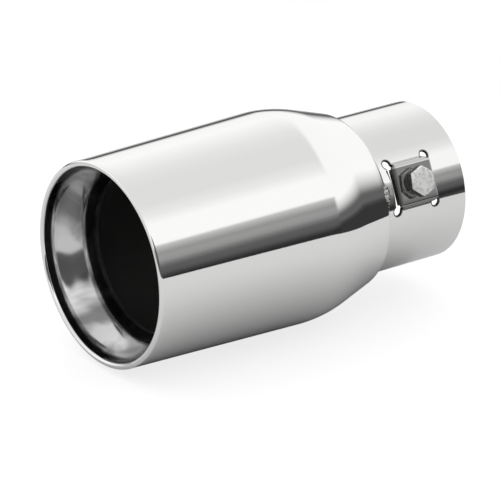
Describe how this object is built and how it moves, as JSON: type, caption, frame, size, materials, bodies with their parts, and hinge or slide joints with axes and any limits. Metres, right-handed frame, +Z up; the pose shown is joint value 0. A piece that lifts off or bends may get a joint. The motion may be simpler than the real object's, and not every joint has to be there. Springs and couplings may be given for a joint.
{
  "type": "exhaust tip",
  "caption": "Polished round exhaust tip: tapered in-rolled shell on a slip-on inlet collar, with a hex clamp bolt through a pressed-out bridge.",
  "frame": {"origin": "centre of the collar's inlet end, where the tail pipe enters", "axes": "+X along the tip from the mouth to the inlet end, +Z up as fitted; the clamp bolt is on the -Y side, 24 degrees above the horizontal"},
  "size_m": [0.1607, 0.089, 0.0889],
  "materials": {
    "polished_sheet": "mirror polished stainless sheet",
    "polished_collar": "mirror polished stainless tube",
    "weld_bead": "rough as-welded bead",
    "plain_nut": "plain stamped steel",
    "satin_bolt": "satin cold-headed stainless"
  },
  "bodies": {
    "tip": {"outer_shell": "polished_sheet", "inlet_collar": "polished_collar", "tack_welds": "weld_bead", "captive_nut": "plain_nut"},
    "bolt": {"clamp_bolt": "satin_bolt"}
  },
  "joints": [
    {"name": "bolt_feed", "type": "slide", "parent": "tip", "child": "bolt", "axis": [0, -0.9135, 0.4067], "range_m": [-0.0012, 0.0022]}
  ]
}
